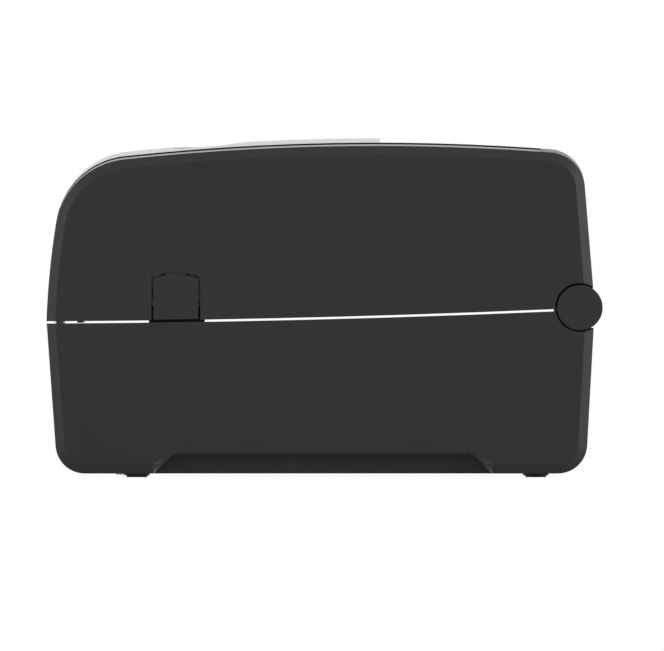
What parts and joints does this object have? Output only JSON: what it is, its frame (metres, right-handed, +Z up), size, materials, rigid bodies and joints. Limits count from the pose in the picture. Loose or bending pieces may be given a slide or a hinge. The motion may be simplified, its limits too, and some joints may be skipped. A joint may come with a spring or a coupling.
{
  "type": "thermal transfer label printer",
  "caption": "Desktop label printer with a rear-hinged lid over a media bay, ribbon carriage, print head, platen, adjustable roll holders and release tabs.",
  "frame": {"origin": "middle of the footprint, on the surface that the feet stand on", "axes": "+Z up, -Y the front where labels leave, +X the right side as seen from behind the machine's front, the side shown in the picture"},
  "size_m": [0.226, 0.2834, 0.1734],
  "materials": {
    "charcoal_case": "fine grained satin",
    "dark_frame": "fine grained satin",
    "pale_cover": "fine satin",
    "silver_plastic": "metallic paint",
    "tinted_window": "smoked clear",
    "liner_plastic": "moulded",
    "holder_plastic": "moulded",
    "hub_plastic": "moulded",
    "gear_plastic": "acetal",
    "platen_rubber": "ground",
    "foot_rubber": "moulded",
    "bright_steel": "ground",
    "sheet_steel": "zinc plated",
    "sink_metal": "extruded",
    "head_ceramic": "glazed ceramic",
    "board_green": "solder mask",
    "socket_shell": "tin plated",
    "black_plastic": "moulded",
    "button_grey": "satin",
    "lens_clear": "clear"
  },
  "bodies": {
    "base": {"base_shell": "charcoal_case", "bottom_plate": "dark_frame", "rubber_feet": "foot_rubber", "bay_liner": "liner_plastic", "label_deck": "liner_plastic", "front_bezel": "dark_frame", "tear_bar": "bright_steel", "platen_side_plates": "sheet_steel", "platen_bushes": "gear_plastic", "feed_motor": "sheet_steel", "sensor_rod": "bright_steel", "main_board": "board_green", "usb_socket": "socket_shell", "network_socket": "socket_shell", "serial_socket": "socket_shell", "dc_inlet": "black_plastic", "switch_housing": "black_plastic", "hinge_ends": "charcoal_case", "hinge_rod": "bright_steel", "base_screws": "bright_steel"},
    "platen": {"platen_roller": "platen_rubber", "platen_shaft": "bright_steel", "platen_gear": "gear_plastic"},
    "idler": {"idler_gear": "gear_plastic"},
    "feed_rotor": {"motor_pinion": "gear_plastic"},
    "holder_right": {"roll_holder_right": "holder_plastic", "roll_hub_right": "hub_plastic"},
    "holder_left": {"roll_holder_left": "holder_plastic", "roll_hub_left": "hub_plastic"},
    "holder_gear": {"holder_pinion": "holder_plastic"},
    "guide_right": {"label_guide_right": "holder_plastic"},
    "guide_left": {"label_guide_left": "holder_plastic"},
    "sensor": {"label_sensor": "black_plastic"},
    "rocker": {"power_rocker": "black_plastic"},
    "lid": {"lid_frame": "dark_frame", "side_panel_left": "charcoal_case", "side_panel_right": "charcoal_case", "edge_trims": "silver_plastic", "top_cover": "pale_cover", "tail_cap": "silver_plastic", "media_window": "tinted_window", "lid_knuckle": "dark_frame", "button_board": "board_green", "status_lenses": "lens_clear", "carriage_plates": "sheet_steel", "carriage_bars": "bright_steel", "ribbon_motor": "sheet_steel", "head_springs": "bright_steel"},
    "tab_right": {"release_tab_right": "charcoal_case"},
    "tab_left": {"release_tab_left": "charcoal_case"},
    "button": {"feed_button": "button_grey"},
    "supply": {"supply_spindle": "hub_plastic"},
    "takeup": {"takeup_spindle": "hub_plastic", "takeup_gear": "gear_plastic"},
    "ribbon_rotor": {"ribbon_pinion": "gear_plastic"},
    "head": {"print_head": "head_ceramic", "heat_sink": "sink_metal", "head_bracket": "sheet_steel"}
  },
  "joints": [
    {"name": "lid_hinge", "type": "hinge", "parent": "base", "child": "lid", "pos_m": [0, 0.13005, 0.0865], "axis": [-1, 0, 0], "range_deg": [0, 90]},
    {"name": "tab_right_press", "type": "hinge", "parent": "lid", "child": "tab_right", "pos_m": [0.1115, -0.07575, 0.1043], "axis": [0, 1, 0], "range_deg": [0, 6], "stiffness_Nm_per_rad": 0.4, "springref_deg": -2.86},
    {"name": "tab_left_press", "type": "hinge", "parent": "lid", "child": "tab_left", "pos_m": [-0.1115, -0.07575, 0.1043], "axis": [0, -1, 0], "range_deg": [0, 6], "stiffness_Nm_per_rad": 0.4, "springref_deg": -2.86},
    {"name": "feed_button_press", "type": "slide", "parent": "lid", "child": "button", "axis": [0, 0, -1], "range_m": [0, 0.0012], "stiffness_N_per_m": 300, "springref_m": -0.002},
    {"name": "power_rocker_tilt", "type": "hinge", "parent": "base", "child": "rocker", "pos_m": [-0.086, 0.13119, 0.04], "axis": [1, 0, 0], "range_deg": [0, 14]},
    {"name": "platen_spin", "type": "hinge", "parent": "base", "child": "platen", "pos_m": [0, -0.125, 0.0715], "axis": [1, 0, 0], "continuous": true},
    {"name": "idler_spin", "type": "hinge", "parent": "base", "child": "idler", "pos_m": [-0.083, -0.11055, 0.05545], "axis": [1, 0, 0], "continuous": true},
    {"name": "feed_motor_spin", "type": "hinge", "parent": "base", "child": "feed_rotor", "pos_m": [-0.083, -0.09351, 0.04352], "axis": [1, 0, 0], "continuous": true},
    {"name": "holder_right_slide", "type": "slide", "parent": "base", "child": "holder_right", "axis": [-1, 0, 0], "range_m": [0, 0.032]},
    {"name": "holder_left_slide", "type": "slide", "parent": "base", "child": "holder_left", "axis": [1, 0, 0], "range_m": [0, 0.032]},
    {"name": "holder_gear_spin", "type": "hinge", "parent": "base", "child": "holder_gear", "pos_m": [0, 0.05, 0.01], "axis": [0, 0, -1], "range_deg": [0, 310]},
    {"name": "guide_right_slide", "type": "slide", "parent": "base", "child": "guide_right", "axis": [-1, 0, 0], "range_m": [0, 0.032]},
    {"name": "guide_left_slide", "type": "slide", "parent": "base", "child": "guide_left", "axis": [1, 0, 0], "range_m": [0, 0.032]},
    {"name": "sensor_slide", "type": "slide", "parent": "base", "child": "sensor", "axis": [1, 0, 0], "range_m": [-0.04, 0.04]},
    {"name": "supply_spin", "type": "hinge", "parent": "lid", "child": "supply", "pos_m": [0, -0.042, 0.121], "axis": [1, 0, 0], "continuous": true},
    {"name": "takeup_spin", "type": "hinge", "parent": "lid", "child": "takeup", "pos_m": [0, -0.096, 0.124], "axis": [1, 0, 0], "continuous": true},
    {"name": "ribbon_motor_spin", "type": "hinge", "parent": "lid", "child": "ribbon_rotor", "pos_m": [-0.078, -0.08224, 0.13364], "axis": [1, 0, 0], "continuous": true},
    {"name": "head_lift", "type": "hinge", "parent": "lid", "child": "head", "pos_m": [0, -0.098, 0.096], "axis": [-1, 0, 0], "range_deg": [0, 3], "stiffness_Nm_per_rad": 3, "springref_deg": -8.59, "deforming": ["head_springs"]}
  ],
  "couplings": [
    {"joint": "idler_spin", "follows": "platen_spin", "ratio": -0.35},
    {"joint": "feed_motor_spin", "follows": "platen_spin", "ratio": 1.1667},
    {"joint": "holder_left_slide", "follows": "holder_right_slide", "ratio": 1},
    {"joint": "holder_gear_spin", "follows": "holder_right_slide", "rad_per_m": 166.67},
    {"joint": "guide_left_slide", "follows": "guide_right_slide", "ratio": 1},
    {"joint": "ribbon_motor_spin", "follows": "takeup_spin", "ratio": -2.5}
  ]
}
